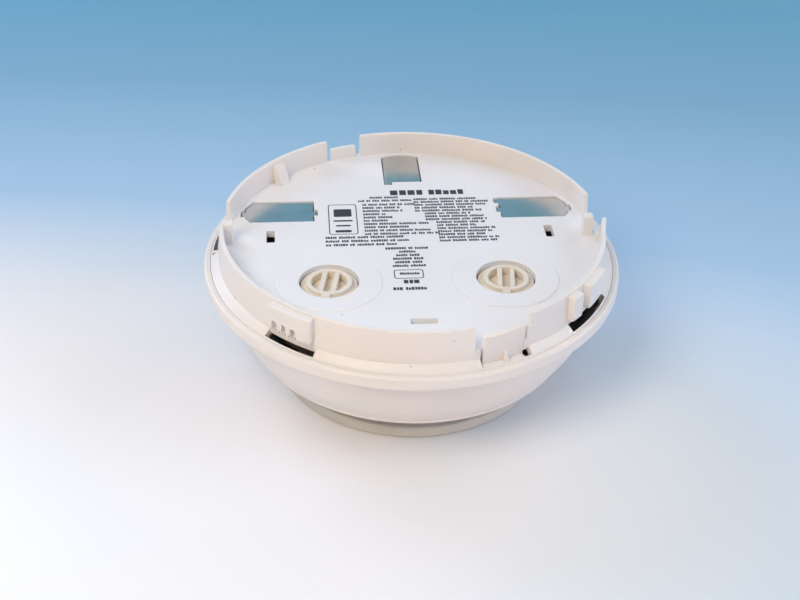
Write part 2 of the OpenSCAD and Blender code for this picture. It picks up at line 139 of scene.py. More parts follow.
# ---------- Outlines ----------
def rounded(corners, steps=4):
    """A closed outline in which each corner (x, y, radius) is turned into a curve."""
    out = []
    for i, (x, y, radius) in enumerate(corners):
        here = Vector((x, y))
        back = Vector(corners[i - 1][:2]) - here
        ahead = Vector(corners[(i + 1) % len(corners)][:2]) - here
        if radius <= 0:
            out.append(here)
            continue
        cut = radius / math.tan(back.angle(ahead) / 2)
        cut = min(cut, 0.49 * back.length, 0.49 * ahead.length)
        start, end = here + back.normalized() * cut, here + ahead.normalized() * cut
        for k in range(steps + 1):
            t = k / steps
            out.append(start * (1 - t) ** 2 + here * 2 * t * (1 - t) + end * t * t)
    return out


def box_outline(x0, x1, y0, y1, radius):
    """A rectangle with rounded corners."""
    return rounded([(x0, y0, radius), (x1, y0, radius), (x1, y1, radius), (x0, y1, radius)])


def circle(x, y, radius, count=72):
    return [
        Vector((x + radius * math.cos(math.tau * i / count), y + radius * math.sin(math.tau * i / count)))
        for i in range(count)
    ]


def curve(a, b, c, count):
    """Points of a quadratic curve from a to c, pulled towards b."""
    a, b, c = Vector(a), Vector(b), Vector(c)
    return [
        a * (1 - t) ** 2 + b * 2 * t * (1 - t) + c * t * t for t in (i / count for i in range(count + 1))
    ]


def split_long(loop, pitch):
    """The outline with its long edges cut into stretches no longer than pitch."""
    out = []
    for i, here in enumerate(loop):
        ahead = loop[(i + 1) % len(loop)]
        parts = max(1, math.ceil((ahead - here).length / pitch))
        out += [here.lerp(ahead, k / parts) for k in range(parts)]
    return out


def area(loop):
    """Signed area of a loop, positive if it runs anticlockwise."""
    return sum(a.x * b.y - b.x * a.y for a, b in zip(loop, loop[1:] + loop[:1])) / 2


def anticlockwise(outline):
    """The outline as a list that runs anticlockwise."""
    return list(outline) if area(outline) >= 0 else list(outline)[::-1]


def edge_normals(loop, by_length):
    """Outward normal at each point of a loop, leaning towards the longer edge if by_length."""
    sides = [(b - a) for a, b in zip(loop, loop[1:] + loop[:1])]
    weights = [s.length if by_length else 1.0 for s in sides]
    flat = [Vector((s.y, -s.x)).normalized() * w for s, w in zip(sides, weights)]
    return [(flat[i - 1] + flat[i]).normalized() for i in range(len(loop))]


def inside(point, loops):
    """Whether a point lies inside an odd number of loops."""
    odd = False
    for loop in loops:
        for a, b in zip(loop, loop[1:] + loop[:1]):
            if (a.y > point.y) != (b.y > point.y):
                if point.x < (b.x - a.x) * (point.y - a.y) / (b.y - a.y) + a.x:
                    odd = not odd
    return odd


# ---------- Where a flat outline goes ----------
def upright(u, v, w):
    """u along X, v along Y, w up."""
    return Vector((u, v, w)), Vector((1, 0, 0)), Vector((0, 1, 0)), Vector((0, 0, 1))


def wrapped(radius, lean=0.0, at=0.0, foot=0.0):
    """u round the head at a radius, v up, w outwards. Lean tips the surface outwards about its foot."""
    sin_lean, cos_lean = math.sin(math.radians(lean)), math.cos(math.radians(lean))

    def place(u, v, w):
        a = math.radians(at) + u / radius
        out, tangent = Vector((math.cos(a), math.sin(a), 0)), Vector((-math.sin(a), math.cos(a), 0))
        up = Vector((0, 0, cos_lean)) + out * sin_lean
        face = out * cos_lean - Vector((0, 0, sin_lean))
        return out * radius + Vector((0, 0, foot)) + up * (v - foot) + face * w, tangent, up, face

    return place


def standing(angle):
    """u along the radius, v up, w across: for ribs and hooks that stand on a radius."""
    a = math.radians(angle)
    out, side = Vector((math.cos(a), math.sin(a), 0)), Vector((math.sin(a), -math.cos(a), 0))
    return lambda u, v, w: (out * u + Vector((0, 0, v)) + side * w, out, Vector((0, 0, 1)), side)


def facing_side(x):
    """u along Y, v up, w along X from a plane at x."""
    return lambda u, v, w: (Vector((x + w, u, v)), Vector((0, 1, 0)), Vector((0, 0, 1)), Vector((1, 0, 0)))


def turned(place, x, y, degrees):
    """A placing turned about a vertical axis through (x, y)."""
    turn = Matrix.Rotation(math.radians(degrees), 3, "Z")
    pivot = Vector((x, y, 0))

    def moved(u, v, w):
        point, eu, ev, ew = place(u, v, w)
        return turn @ (point - pivot) + pivot, turn @ eu, turn @ ev, turn @ ew

    return moved


# ---------- Meshes ----------
def make(name, points, faces, normals, material, slot, body=HEAD, replaces=()):
    """A piece from points in millimetres, shaded with the given normals, riding on a body."""
    mesh = bpy.data.meshes.new(name)
    mesh.from_pydata([p * MM for p in points], [], faces)
    mesh.polygons.foreach_set("use_smooth", [True] * len(mesh.polygons))
    if normals:
        mesh.normals_split_custom_set_from_vertices(normals)
    mesh.materials.append(material)
    piece = bpy.data.objects.new(name, mesh)
    bpy.context.scene.collection.objects.link(piece)
    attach(piece, body)
    if replaces:
        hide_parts(*replaces)
    return piece


def slab_parts(loops, low, high, soft, soft_low, place, pitch, steps):
    """Points, faces and normals of a plate with rounded edges. The first loop is its outline, the rest
    are holes. With a pitch, its faces are cut up so that they can follow a curve."""
    loops = [list(loop) for loop in loops]
    for i, loop in enumerate(loops):
        if (area(loop) > 0) != (i == 0):
            loop.reverse()
    if pitch:
        loops = [split_long(loop, pitch) for loop in loops]
    quarter = math.pi / 2
    rings = [(soft_low * (1 - math.cos(t)), low + soft_low * (1 - math.sin(t)), math.cos(t), -math.sin(t))
             for t in (quarter * (1 - k / steps) for k in range(steps + 1))]
    rings += [(soft * (1 - math.cos(t)), high - soft * (1 - math.sin(t)), math.cos(t), math.sin(t))
              for t in (quarter * k / steps for k in range(steps + 1))]
    points, normals, faces, owner = [], [], [], []
    for loop in loops:
        miters, shades = edge_normals(loop, False), edge_normals(loop, True)
        start, count = len(points), len(loop)
        for inset, w, side, rise in rings:
            for p, miter, shade in zip(loop, miters, shades):
                q = p - miter * inset
                point, eu, ev, ew = place(q.x, q.y, w)
                points.append(point)
                normals.append(((eu * shade.x + ev * shade.y) * side + ew * rise).normalized())
        for r in range(len(rings) - 1):
            for j in range(count):
                k = (j + 1) % count
                a, b = start + r * count, start + (r + 1) * count
                faces.append((a + j, a + k, b + k, b + j))
        owner += [(start + j, start + (len(rings) - 1) * count + j) for j in range(count)]
    flat = [p for loop in loops for p in loop]
    if pitch:
        xs, ys = [p.x for p in flat], [p.y for p in flat]
        for i in range(1, int((max(xs) - min(xs)) / pitch) + 1):
            for j in range(1, int((max(ys) - min(ys)) / pitch) + 1):
                p = Vector((min(xs) + i * pitch, min(ys) + j * pitch))
                if inside(p, loops) and min((p - q).length for q in flat) > pitch * 0.45:
                    low_point, high_point = place(p.x, p.y, low), place(p.x, p.y, high)
                    owner.append((len(points), len(points) + 1))
                    points += [low_point[0], high_point[0]]
                    normals += [-low_point[3], high_point[3]]
                    flat.append(p)
    edges, base = [], 0
    for loop in loops:
        edges += [(base + j, base + (j + 1) % len(loop)) for j in range(len(loop))]
        base += len(loop)
    verts, _, triangles, source, _, _ = geometry.delaunay_2d_cdt(flat, edges, [], 0, 1e-7)
    for triangle in triangles:
        centre = sum((verts[i] for i in triangle), Vector((0, 0))) / 3
        if inside(centre, loops):
            low_ids, high_ids = zip(*(owner[source[i][0]] for i in triangle))
            if len(set(high_ids)) == 3:
                faces += [high_ids, low_ids[::-1]]
    return points, faces, normals


def block(outline, low, high, soft, soft_low=0.1, place=upright, steps=3):
    """A small solid with rounded edges, for a piece that is made of several."""
    return slab_parts([outline], low, high, soft, soft_low, place, None, steps)


def slab(name, loops, low, high, soft, place, material, slot, soft_low=0.05, pitch=None, **more):
    """A plate with rounded edges as one piece."""
    parts = slab_parts(loops, low, high, soft, soft_low, place, pitch, 3)
    return make(name, *parts, material, slot, **more)


def several(name, all_parts, material, slot, **more):
    """Several separate solids as one piece."""
    points, faces, normals = [], [], []
    for some_points, some_faces, some_normals in all_parts:
        base = len(points)
        points += some_points
        normals += some_normals
        faces += [tuple(i + base for i in face) for face in some_faces]
    return make(name, points, faces, normals, material, slot, **more)


def lathe_parts(outline, count=240, x=0.0, y=0.0):
    """A closed outline of (radius, height) turned once round a vertical axis."""
    outline = anticlockwise(outline)
    shades = edge_normals(outline, True)
    points, normals, faces = [], [], []
    for i in range(count):
        a = math.tau * i / count
        out = Vector((math.cos(a), math.sin(a), 0))
        for p, n in zip(outline, shades):
            points.append(out * p.x + Vector((x, y, p.y)))
            normals.append(out * n.x + Vector((0, 0, n.y)))
    m = len(outline)
    for i in range(count):
        a, b = i * m, ((i + 1) % count) * m
        for j in range(m):
            k = (j + 1) % m
            faces.append((a + j, b + j, b + k, a + k))
    return points, faces, normals


def sector_parts(outline, start, end):
    """A closed outline of (radius, height) swept from one angle to another, with flat ends."""
    outline = anticlockwise(outline)
    shades = edge_normals(outline, True)
    count = max(2, math.ceil((end - start) / 2))
    points, normals, faces = [], [], []
    for i in range(count + 1):
        a = math.radians(start + (end - start) * i / count)
        out = Vector((math.cos(a), math.sin(a), 0))
        points += [out * p.x + Vector((0, 0, p.y)) for p in outline]
        normals += [out * n.x + Vector((0, 0, n.y)) for n in shades]
    m = len(outline)
    for i in range(count):
        a, b = i * m, (i + 1) * m
        faces += [(a + j, b + j, b + (j + 1) % m, a + (j + 1) % m) for j in range(m)]
    for a, ring, way in ((start, 0, 1), (end, count, -1)):
        base, turn = len(points), math.radians(a)
        face = Vector((math.sin(turn), -math.cos(turn), 0)) * way
        points += points[ring * m:(ring + 1) * m]
        normals += [face] * m
        cap = geometry.tessellate_polygon([[Vector((p.x, p.y, 0)) for p in outline]])
        for triangle in cap:
            ids = [base + i for i in triangle]
            p, q, r = (points[i] for i in ids)
            faces.append(tuple(ids) if (q - p).cross(r - p).dot(face) > 0 else tuple(ids[::-1]))
        # The end shares no points with the sides, so a strip of faces joins them
        strip = [(ring * m + j, ring * m + (j + 1) % m, base + (j + 1) % m, base + j) for j in range(m)]
        faces += strip if way > 0 else [s[::-1] for s in strip]
    return points, faces, normals


# ---------- Materials ----------
def new_material(name):
    """A new material with its node tree and its shader."""
    material = bpy.data.materials.new(name)
    material.use_nodes = True
    nodes = material.node_tree.nodes
    return material, material.node_tree, nodes["Principled BSDF"]


def place_noise(tree, scale, detail, stretch=(1, 1, 1)):
    """Noise in the object's own space; scale is features per millimetre."""
    where = tree.nodes.new("ShaderNodeTexCoord")
    size = tree.nodes.new("ShaderNodeMapping")
    size.inputs["Scale"].default_value = [s / MM for s in stretch]
    noise = tree.nodes.new("ShaderNodeTexNoise")
    noise.inputs["Scale"].default_value = scale
    noise.inputs["Detail"].default_value = detail
    tree.links.new(where.outputs["Object"], size.inputs["Vector"])
    tree.links.new(size.outputs["Vector"], noise.inputs["Vector"])
    return noise.outputs["Fac"]


def ramp(tree, value, low, high, low_colour, high_colour):
    """Blends from one colour to another as the value goes from low to high."""
    node = tree.nodes.new("ShaderNodeValToRGB")
    node.color_ramp.elements[0].position = low
    node.color_ramp.elements[1].position = high
    node.color_ramp.elements[0].color = (*low_colour, 1)
    node.color_ramp.elements[1].color = (*high_colour, 1)
    tree.links.new(value, node.inputs["Fac"])
    return node.outputs["Color"]


def spread(tree, value, low, high):
    """Maps 0..1 to low..high."""
    node = tree.nodes.new("ShaderNodeMapRange")
    node.inputs["To Min"].default_value = low
    node.inputs["To Max"].default_value = high
    tree.links.new(value, node.inputs["Value"])
    return node.outputs["Result"]


def bump(tree, shader, height, strength, distance):
    """Fine relief on the surface; distance is in millimetres."""
    node = tree.nodes.new("ShaderNodeBump")
    node.inputs["Strength"].default_value = strength
    node.inputs["Distance"].default_value = distance * MM
    tree.links.new(height, node.inputs["Height"])
    tree.links.new(node.outputs["Normal"], shader.inputs["Normal"])


def depth(shader, weight, radius):
    """Lets light a little way into the plastic, by a distance in millimetres for each colour."""
    shader.inputs["IOR"].default_value = 1.5
    shader.inputs["Subsurface Weight"].default_value = weight
    shader.inputs["Subsurface Radius"].default_value = radius
    shader.inputs["Subsurface Scale"].default_value = MM


def moulded(name, dark, light, rough, glow=0.0):
    """Moulded plastic: slight colour drift, fine spark-eroded grain and uneven gloss."""
    material, tree, shader = new_material(name)
    drift = place_noise(tree, 0.045, 3)
    tree.links.new(ramp(tree, drift, 0.35, 0.65, dark, light), shader.inputs["Base Color"])
    gloss = spread(tree, place_noise(tree, 0.6, 3), rough - 0.06, rough + 0.06)
    tree.links.new(gloss, shader.inputs["Roughness"])
    depth(shader, glow, (1.2, 0.8, 0.5))
    bump(tree, shader, place_noise(tree, 7.0, 2), 0.25, 0.02)
    return material


def specked_white(name, dark, light):
    """The housing's white plastic, with slight colour drift and a few tiny dark specks of dust."""
    material, tree, shader = new_material(name)
    drift = ramp(tree, place_noise(tree, 0.04, 3), 0.3, 0.7, dark, light)
    specks = place_noise(tree, 1.1, 0)
    spots = tree.nodes.new("ShaderNodeMapRange")
    spots.inputs["From Min"].default_value = 0.885
    spots.inputs["From Max"].default_value = 0.90
    tree.links.new(specks, spots.inputs["Value"])
    mix = tree.nodes.new("ShaderNodeMix")
    mix.data_type = "RGBA"
    mix.inputs["B"].default_value = (0.36, 0.29, 0.24, 1)
    tree.links.new(spots.outputs["Result"], mix.inputs["Factor"])
    tree.links.new(drift, mix.inputs["A"])
    tree.links.new(mix.outputs["Result"], shader.inputs["Base Color"])
    tree.links.new(spread(tree, place_noise(tree, 0.5, 3), 0.30, 0.42), shader.inputs["Roughness"])
    depth(shader, 0.12, (1.0, 0.7, 0.5))
    bump(tree, shader, place_noise(tree, 6.0, 2), 0.2, 0.015)
    return material


def brushed(name, dark, light, rough, stretch):
    """Metal with fine drawn lines along one direction."""
    material, tree, shader = new_material(name)
    shader.inputs["Metallic"].default_value = 1.0
    lines = place_noise(tree, 1.0, 4, stretch)
    stains = place_noise(tree, 0.18, 3)
    tree.links.new(ramp(tree, stains, 0.35, 0.7, dark, light), shader.inputs["Base Color"])
    tree.links.new(spread(tree, lines, rough - 0.05, rough + 0.07), shader.inputs["Roughness"])
    bump(tree, shader, lines, 0.12, 0.01)
    return material


def coated(name, colour, spotted, rough, scale):
    """A coated or printed surface with soft mottling."""
    material, tree, shader = new_material(name)
    mottle = ramp(tree, place_noise(tree, scale, 3), 0.4, 0.62, colour, spotted)
    tree.links.new(mottle, shader.inputs["Base Color"])
    shader.inputs["Roughness"].default_value = rough
    bump(tree, shader, place_noise(tree, scale * 4, 2), 0.15, 0.01)
    return material


def clear_plastic(name):
    """Clear plastic with a slight haze."""
    material, tree, shader = new_material(name)
    tree.links.new(ramp(tree, place_noise(tree, 0.4, 2), 0.3, 0.7, (0.78, 0.78, 0.76), (0.88, 0.88, 0.86)),
                   shader.inputs["Base Color"])
    shader.inputs["Transmission Weight"].default_value = 0.75
    shader.inputs["Roughness"].default_value = 0.12
    shader.inputs["IOR"].default_value = 1.49
    return material


# A darker, greyer copy of the white plastic: painted shade, used on the nose cap under the bowl's overhang
# and on the floor of the front latch slot
SHADE_PAINTED_WHITE = moulded("white_plastic_painted_shade", (0.57, 0.56, 0.52), (0.62, 0.605, 0.565), 0.42)
# The housing and cover are one white plastic, given in two tints. The warmer copy, on the skirt, rim, lugs,
# tongues and cover, is painted warm light from the front; the cooler copy, on the plate and the dial
# surrounds, is painted cool light from above.
WHITE = specked_white("white_plastic_painted_warm_light", (0.80, 0.745, 0.71), (0.83, 0.78, 0.75))
COOL_LIT_WHITE = specked_white("white_plastic_painted_cool_light", (0.80, 0.775, 0.785), (0.83, 0.81, 0.82))
CREAM = moulded("cream_moulded_plastic", (0.74, 0.655, 0.55), (0.79, 0.715, 0.62), 0.42, glow=0.15)
# A lighter copy of the dial's cream for the floor inside each ring: painted light that lifts the shaded
# pocket
LIT_POCKET_CREAM = moulded("cream_plastic_painted_light", (0.84, 0.75, 0.65), (0.90, 0.82, 0.73), 0.45)
BLACK = moulded("black_moulded_plastic", (0.012, 0.012, 0.013), (0.022, 0.022, 0.023), 0.55)
GREY = moulded("grey_moulded_plastic", (0.13, 0.13, 0.14), (0.17, 0.17, 0.18), 0.5)
CONTACT = brushed("tinned_contact_metal", (0.60, 0.63, 0.64), (0.68, 0.70, 0.70), 0.23, (0.15, 3, 3))
STEEL = brushed("plated_screw_steel", (0.42, 0.43, 0.44), (0.52, 0.53, 0.54), 0.3, (2, 2, 2))
MESH_STEEL = brushed("woven_screen_steel", (0.30, 0.30, 0.30), (0.42, 0.42, 0.42), 0.38, (3, 3, 0.5))
CAN = brushed("capacitor_can_aluminium", (0.66, 0.66, 0.67), (0.74, 0.74, 0.75), 0.28, (2, 2, 0.2))
BOARD = coated("brown_solder_mask", (0.10, 0.085, 0.068), (0.14, 0.12, 0.095), 0.4, 0.5)
CERAMIC = coated("fired_ceramic", (0.30, 0.22, 0.14), (0.40, 0.31, 0.21), 0.5, 1.2)
TINTED = coated("tinted_epoxy", (0.03, 0.02, 0.06), (0.06, 0.04, 0.11), 0.15, 0.6)
CLEAR = clear_plastic("clear_light_plastic")
INK = coated("printing_ink", (0.012, 0.014, 0.022), (0.045, 0.05, 0.065), 0.55, 3.0)


# ---------- Rear housing ----------
def side_window(g, side):
    """Window of a side terminal, grown by g, on the +X side or mirrored."""
    corners = [
        (24.2 - g, 10.7 - g, 0.3), (40.7 + g / 2, 10.7 - g, 0.3), (42.2 + g, 13.4 - g / 2, 0.3),
        (42.2 + g, 18 + g / 2, 0.3), (40.2 + g / 2, 21.1 + g, 0.3), (24.2 - g, 21.1 + g, 0.3),
    ]
    return rounded([(x * side, y, r) for x, y, r in corners])


def side_window_with_slots(side):
    """The same window with the leg slots at both ends. The right one has a second slot at its inner end."""
    corners = [
        (24.2, 10.7, 0.3), (40.7, 10.7, 0.3), (42.2, 13.4, 0.2), (42.2, 13.6, 0.1), (43.1, 13.6, 0.2),
        (43.1, 16.6, 0.2), (42.2, 16.6, 0.1), (42.2, 18, 0.3), (40.2, 21.1, 0.3), (24.2, 21.1, 0.2),
    ]
    if side > 0:
        corners += [(24.2, 20.9, 0.1), (23.1, 20.9, 0.8), (23.1, 18.1, 0.8), (24.2, 18.1, 0.1)]
    corners += [(24.2, 16.6, 0.1), (23.3, 16.6, 0.2), (23.3, 13.6, 0.2), (24.2, 13.6, 0.1)]
    return rounded([(x * side, y, r) for x, y, r in corners])


def rear_window(g, slot=True):
    """Window of the rear terminal, with an arched back edge and a step at its front left."""
    half_w, front_y, arch_r, arch_y = 5.1 + g, 30.3 - g, 8.9 + g, 37
    half = math.asin(half_w / arch_r)
    turns = [half - 2 * half * k / 10 for k in range(11)]
    arch = [Vector((arch_r * math.sin(a), arch_y + arch_r * math.cos(a))) for a in turns]
    front = [(-half_w, front_y)]
    if slot:
        front = [(-half_w, front_y - 1.4), (-3 + g, front_y - 1.4), (-3 + g, front_y)]
    return [*arch, *(Vector(p) for p in (*front, (half_w, front_y)))]


def dial_centres():
    """Node, body and centre of each address dial."""
    for node, body in (("address_dial_left", "tens_dial"), ("address_dial_right", "ones_dial")):
        low, high = node_box(node)
        yield node, body, (low.x + high.x) / 2, (low.y + high.y) / 2


def terminal_plate():
    """The flat plate with its windows, dial holes and slots."""
    holes = [side_window_with_slots(1), side_window_with_slots(-1), rear_window(0)]
    holes += [circle(x, y, DIAL_HOLE_R) for _, _, x, y in dial_centres()]
    for side in (1, -1):
        x0, x1 = sorted((34.3 * side, 36.4 * side))
        holes.append(box_outline(x0, x1, 0.9, 6.5, 0.2))
    holes.append(box_outline(-3.1, 3.1, -35.7, -33.5, 0.2))
    # The plate takes the cooler copy of the white plastic: painted cool light from above
    slab("terminal_plate", [circle(0, 0, skirt_in_r + 0.6, 180), *holes], plate_low_z, plate_z, 0.12,
         upright, COOL_LIT_WHITE, "white_plastic", replaces=("rear_housing",))
    # The slot's floor takes the darker copy of the white plastic: painted shade in the pocket
    slab("front_latch_floor", [box_outline(-3.4, 3.4, -36.2, -33, 0.1)], plate_z - 2.6, plate_z - 1.2, 0.1,
         upright, SHADE_PAINTED_WHITE, "white_plastic")


def dial_surrounds():
    """The slightly raised discs round the dials."""
    for _, _, x, y in dial_centres():
        side = "left" if x < 0 else "right"
        # The surrounds take the cooler copy of the white plastic: painted cool light from above
        slab(f"dial_surround_{side}", [circle(x, y, SURROUND_R, 144), circle(x, y, DIAL_HOLE_R)],
             plate_z - 0.3, plate_z + 0.3, 0.28, upright, COOL_LIT_WHITE, "white_plastic")


def unrolled(corners, radius):
    """Corners given as (angle, height, rounding), laid out flat round a radius."""
    return rounded([(math.radians(a) * radius, z, r) for a, z, r in corners], 4)


def skirt_face(flare_end=None):
    """Round the head on the skirt, whose outer face draws in towards its top. One end may lean outwards."""
    straight = wrapped(skirt_r)

    def place(u, v, w):
        rise = max(0.0, (v - foot_z) / (head_h - foot_z))
        w -= (1 + w / SKIRT_WALL) * SKIRT_DRAFT * rise
        if flare_end is not None:
            along = 1 - (flare_end - math.degrees(u / skirt_r)) / FLARE_ANGLE
            w += FLARE * rise * max(0.0, along) ** 2
        point, eu, ev, ew = straight(u, v, w)
        return point, eu, ev, (ew + ev * 0.07).normalized()

    return place


def skirt_walls():
    """The stretches of the mounting skirt between its gaps. Their foot is higher over the rim openings."""
    for i, (start, end) in enumerate(SKIRT_SEGMENTS):
        low = foot_z - 0.8
        corners = [(start, low, 0.2)]
        for first in sorted(OPENING_FEET):
            steps = OPENING_FEET[first]
            if start < first < end:
                corners.append((steps[0][0], low, 0.1))
                corners += [(a, z, 0.1) for a, z in steps]
                corners.append((steps[-1][0], low, 0.1))
        corners += [(end, low, 0.2), (end, head_h, 0.7)]
        if start == LOW_CORNER[0]:
            step_z = plate_z + LOW_CORNER[2]
            corners += [(LOW_CORNER[1], head_h, 0.5), (LOW_CORNER[1], step_z, 0.3), (start, step_z, 0.4)]
        else:
            corners.append((start, head_h, 0.7))
        last = i == len(SKIRT_SEGMENTS) - 1
        place = skirt_face(end) if last else skirt_face()
        slab(f"skirt_wall_{i + 1}", [unrolled(corners, skirt_r)], -SKIRT_WALL, 0, 0.28, place, WHITE,
             "white_plastic", soft_low=0.22, pitch=WALL_PITCH)


def lugs():
    """Pads on the skirt with notches in their lower edge."""
    radius, notch_top = skirt_r + 1.5, LUG_LOW + NOTCH_H
    for i, lug in enumerate(LUGS):
        a0, a1 = lug["span"]
        corners, notch = [(a0, LUG_LOW, 0.3)], math.degrees(0.65 / radius)
        for a in lug["notches"]:
            corners += [(a - notch, LUG_LOW, 0.15), (a - notch, notch_top, 0.3),
                        (a + notch, notch_top, 0.3), (a + notch, LUG_LOW, 0.15)]
        top = head_h - lug["drop"]
        corners += [(a1, LUG_LOW, 0.3), (a1, top, 0.6), (a0, top, 0.6)]
        slab(f"lug_{i + 1}", [unrolled(corners, radius)], -2.6, 0, 0.4, wrapped(radius), WHITE,
             "white_plastic", pitch=WALL_PITCH)


def rim_band():
    """The sloping band outside the skirt: sectors between its openings, and a thin unbroken outer ring."""
    outer_ring = rounded([
        (flange_r - 0.45, ledge_z, 0.05), (flange_r, ledge_z, 0.05), (flange_r, seam_z, 0.15),
        (flange_r - 0.45, seam_z + 0.3, 0.1),
    ])
    several("rim_ring", [lathe_parts(outer_ring)], WHITE, "white_plastic")
    band = rounded([
        (flange_r - 1.6, ledge_z, 0.1), (flange_r - 0.4, ledge_z, 0.1),
        (flange_r - 0.4, seam_z + 0.27, 0.05), (skirt_r + 0.1, foot_z, 0.2),
        (skirt_r - 0.8, foot_z + 0.1, 0.1), (skirt_r - 0.8, seam_z, 0.1), (skirt_r + 0.2, seam_z - 0.6, 0.2),
    ])
    cuts = sorted([*RIM_OPENINGS, *((t["at"] - t["gap"][0], t["at"] + t["gap"][1]) for t in TONGUES)])
    parts = []
    for (_, start), (end, _) in zip(cuts, cuts[1:] + [(cuts[0][0] + 360, 0)]):
        parts.append(sector_parts(band, start, end))
    bridge = rounded([(skirt_r - 0.2, seam_z - 0.6, 0.1), (flange_r - 0.2, seam_z - 0.6, 0.1),
                      (flange_r - 0.2, seam_z + 0.1, 0.15), (skirt_r - 0.2, seam_z + 0.5, 0.15)])
    parts.append(sector_parts(bridge, 176.4, 177.7))
    several("rim_band", parts, WHITE, "white_plastic")


def tongues():
    """Flexing tongues that lean outwards, each with a rib at its foot and a web behind it."""
    for i, tongue in enumerate(TONGUES):
        at, half = tongue["at"], tongue["half_w"]
        top = plate_z + tongue["h"]
        foot = ledge_z + 0.4
        place = wrapped(skirt_r - 0.35, lean=4, at=at, foot=foot)
        outline = rounded([(-half, foot, 0.2), (half, foot, 0.2), (half, top + tongue["drop"] / 2, 0.4),
                           (-half, top - tongue["drop"], 0.4)])
        slab(f"tongue_{i + 1}", [outline], -1.5, 0, 0.3, place, WHITE, "white_plastic", soft_low=0.25,
             pitch=WALL_PITCH)
        rib = rounded([
            (skirt_r - 0.9, foot, 0.1), (skirt_r + 1.5, foot, 0.1), (skirt_r + 1.5, seam_z - 0.6, 0.3),
            (skirt_r - 0.1, seam_z + 2.4, 0.2), (skirt_r - 0.9, seam_z + 2.4, 0.1),
        ])
        slab(f"tongue_rib_{i + 1}", [rib], -0.5, 0.5, 0.2, standing(at + 0.4), WHITE, "white_plastic",
             soft_low=0.2)
        web = rounded([
            (skirt_in_r - 1.5, foot, 0.1), (flange_r - 0.5, foot, 0.1), (flange_r - 0.5, foot + 1.5, 0.2),
            (skirt_in_r - 1.5, foot + 1.5, 0.2),
        ])
        web_parts = sector_parts(web, at - tongue["gap"][0] - 1, at + half + 0.7)
        several(f"tongue_web_{i + 1}", [web_parts], WHITE, "white_plastic")
        for k, (start, end) in enumerate(tongue["sills"]):
            sill(f"tongue_sill_{i + 1}_{k + 1}", start, end, foot_z - 0.8, plate_z + 0.1)


def sill(name, start, end, low, high):
    """A low stretch of wall that closes the edge of the plate where the skirt is cut away."""
    outline = unrolled([(start, low, 0.1), (end, low, 0.1), (end, high, 0.1), (start, high, 0.1)], skirt_r)
    slab(name, [outline], -SKIRT_WALL, -0.03, 0.15, wrapped(skirt_r), WHITE, "white_plastic", soft_low=0.15,
         pitch=WALL_PITCH)


def gap_parts():
    """The sill across each gap of the skirt, and the post that stands inside it."""
    for name, (start, end), x in zip(("right", "left"), LOW_GAPS, GAP_POSTS):
        sill(f"gap_sill_{name}", start - 0.5, end + 0.5, foot_z, plate_z + 0.3)
        post_side = rounded([(0.6, plate_z - 0.4, 0.1), (4, plate_z - 0.4, 0.1), (4, plate_z + 4.4, 0.4),
                             (2.8, plate_z + 5.6, 0.4), (0.6, plate_z + 5.6, 0.4)])
        slab(f"gap_post_{name}", [post_side], -1.2, 1.2, 0.3, facing_side(x), WHITE, "white_plastic",
             soft_low=0.3)


def inner_hook():
    """The hook on the inner face of the skirt."""
    outline = rounded([
        (skirt_in_r - 3.2, plate_z - 0.3, 0.1), (skirt_in_r + 0.3, plate_z - 0.3, 0.1),
        (skirt_in_r + 0.3, plate_z + 4.8, 0.3), (skirt_in_r - 1.4, plate_z + 4.8, 0.4),
        (skirt_in_r - 2.2, plate_z + 2.6, 0.4),
    ])
    slab("skirt_hook", [outline], -1.6, 1.6, 0.3, standing(136), WHITE, "white_plastic", soft_low=0.3)


# ---------- Front cover ----------
def cover_shell():
    """Lip, bowl and lower edge, with the roof and the wall of the inlet, turned in one piece."""
    bore_r = flange_r + 0.08
    lip_low_z = seam_z - 3.2
    bowl_r, bowl_z = rim_r - 4.4, lip_low_z - 2.6
    lip = rounded([
        (edge_r - 2.2, edge_z + 3.9, 0.3), (bore_r, ledge_z, 0.05), (bore_r, seam_z, 0.1),
        (rim_r, seam_z, 0.9), (rim_r, lip_low_z, 0.8), (bowl_r + 0.05, bowl_z + 0.1, 1.6),
        (bowl_r - 0.6, bowl_z - 2.6, 1.2),
    ], 5)[6:]
    bowl = curve((bowl_r - 0.33, bowl_z - 1.5), (bowl_r - 1.5, edge_z + 6.6),
                 (edge_r + 0.05, edge_z + 0.6), 16)
    foot = rounded([
        (edge_r, edge_z + 0.5, 0.4), (edge_r - 0.3, edge_z - 0.75, 0.5), (edge_r - 1.7, edge_z - 0.6, 0.5),
        (edge_r - 2.4, edge_z + 2.3, 0.8), (cove_r, edge_z + 2.3, 1.2), (cove_r, edge_z + 0.2, 0.2),
        (cove_r - 1.6, edge_z + 0.2, 0.2), (cove_r - 1.6, edge_z + 3.9, 0.4),
    ], 5)
    inner = curve((edge_r - 2.0, edge_z + 4.0), (bowl_r - 2.4, edge_z + 7.4),
                  (bowl_r - 2.0, bowl_z - 1.0), 8)
    inner += [Vector((bore_r - 1.8, ledge_z - 1.2)), Vector((bore_r - 1.8, ledge_z - 0.1))]
    return [*inner, *lip[:-6], *bowl, *foot]


